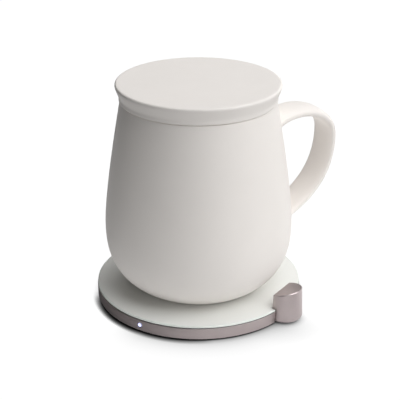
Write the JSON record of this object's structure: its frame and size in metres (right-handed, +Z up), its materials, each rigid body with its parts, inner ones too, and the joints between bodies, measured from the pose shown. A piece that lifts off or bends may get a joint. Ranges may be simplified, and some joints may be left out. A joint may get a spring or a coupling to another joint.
{
  "type": "self-heating mug with warming pad",
  "caption": "Round-bellied ceramic mug with band handle and lift-off lid, standing on a flat round wireless warming pad with glass top, metal rim and a small socket post.",
  "frame": {"origin": "centre of the flat underside of the pad's foot, on the surface that it stands on", "axes": "+Z up along the mug's axis, +X from the mug's axis towards its handle"},
  "size_m": [0.1229, 0.1012, 0.1091],
  "materials": {
    "white_ceramic": "matte satin glaze, off-white",
    "lid_ceramic": "matte satin glaze, off-white",
    "white_glass": "glossy, painted white behind, faintly green",
    "rim_aluminium": "bead-blasted and anodised, warm pinkish grey",
    "black_silicone": "matte",
    "grey_silicone": "matte",
    "clear_silicone": "satin, milky",
    "black_plastic": "fine moulded texture",
    "chip_plastic": "matte moulded",
    "light_plastic": "clear, lit bluish white",
    "circuit_board": "green solder mask",
    "flat_cable": "amber film",
    "copper_wire": "enamelled copper",
    "ferrite": "sintered, dark grey",
    "capacitor_ceramic": "tan, tinned ends",
    "steel": "bright"
  },
  "bodies": {
    "pad": {"foot_pad": "black_silicone", "base_plate": "black_plastic", "base_screws": "steel", "rim_ring": "rim_aluminium", "glass_gasket": "black_silicone", "glass_top": "white_glass", "post_shell": "rim_aluminium", "post_cap": "black_plastic", "usb_shell": "steel", "usb_tongue": "black_plastic", "usb_board": "circuit_board", "usb_flex": "flat_cable", "main_board": "circuit_board", "board_screws": "steel", "flex_socket": "black_plastic", "control_chip": "chip_plastic", "power_transistors": "chip_plastic", "power_inductors": "ferrite", "tuning_capacitors": "capacitor_ceramic", "led_chip": "light_plastic", "light_pipe": "light_plastic", "coil_carrier": "black_plastic", "transmit_ferrite": "ferrite", "transmit_coil": "copper_wire", "coil_leads": "copper_wire", "coil_sheet": "grey_silicone", "coil_sensor": "grey_silicone"},
    "mug": {"mug_body": "white_ceramic", "mug_handle": "white_ceramic", "base_cover": "white_ceramic", "base_seal": "grey_silicone", "receive_coil": "copper_wire", "receive_ferrite": "ferrite", "receive_board": "circuit_board", "rectifier_chips": "chip_plastic", "smoothing_capacitors": "capacitor_ceramic", "heater_spacer": "grey_silicone", "heater_plate": "steel", "heater_bond": "grey_silicone", "mug_sensor": "grey_silicone"},
    "lid": {"lid_cap": "lid_ceramic", "lid_seal": "clear_silicone"}
  },
  "joints": [
    {"name": "mug_lift", "type": "slide", "parent": "pad", "child": "mug", "axis": [0, 0, 1], "range_m": [0, 0.06]},
    {"name": "lid_lift", "type": "slide", "parent": "mug", "child": "lid", "axis": [0, 0, 1], "range_m": [0, 0.05]}
  ]
}
